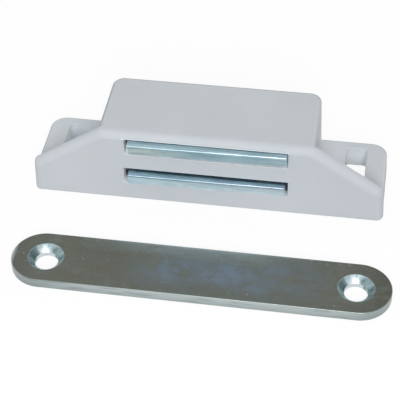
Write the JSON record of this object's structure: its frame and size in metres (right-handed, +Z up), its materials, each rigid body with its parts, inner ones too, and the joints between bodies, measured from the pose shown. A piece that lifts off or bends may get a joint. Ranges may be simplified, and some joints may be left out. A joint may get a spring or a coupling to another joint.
{
  "type": "magnetic cabinet catch",
  "caption": "Magnetic cabinet catch: white housing with sloping wings and slotted ears, floating steel pole plates on a hidden magnet, and a round-ended countersunk strike plate.",
  "frame": {"origin": "middle of the front wall's foot, on the face that is screwed to the cabinet", "axes": "+X along the housing, +Y from its front face to its rear, +Z up from the face that is screwed to the cabinet"},
  "size_m": [0.081, 0.0488, 0.0185],
  "materials": {
    "white_plastic": "satin moulded white",
    "zinc_plated_steel": "zinc plated, sheared edges",
    "ferrite": "dull dark ceramic"
  },
  "bodies": {
    "housing": {"housing": "white_plastic", "magnet": "ferrite"},
    "upper_pole": {"upper_pole_plate": "zinc_plated_steel"},
    "lower_pole": {"lower_pole_plate": "zinc_plated_steel"},
    "strike": {"strike_plate": "zinc_plated_steel"}
  },
  "joints": [
    {"name": "upper_pole_slide", "type": "slide", "parent": "housing", "child": "upper_pole", "axis": [0, -1, 0], "range_m": [-0.0009, 0.0005]},
    {"name": "lower_pole_slide", "type": "slide", "parent": "housing", "child": "lower_pole", "axis": [0, -1, 0], "range_m": [-0.0007, 0.0009]},
    {"name": "strike_slide", "type": "slide", "parent": "housing", "child": "strike", "axis": [0, -1, 0], "range_m": [-0.0149, 0.06]}
  ]
}
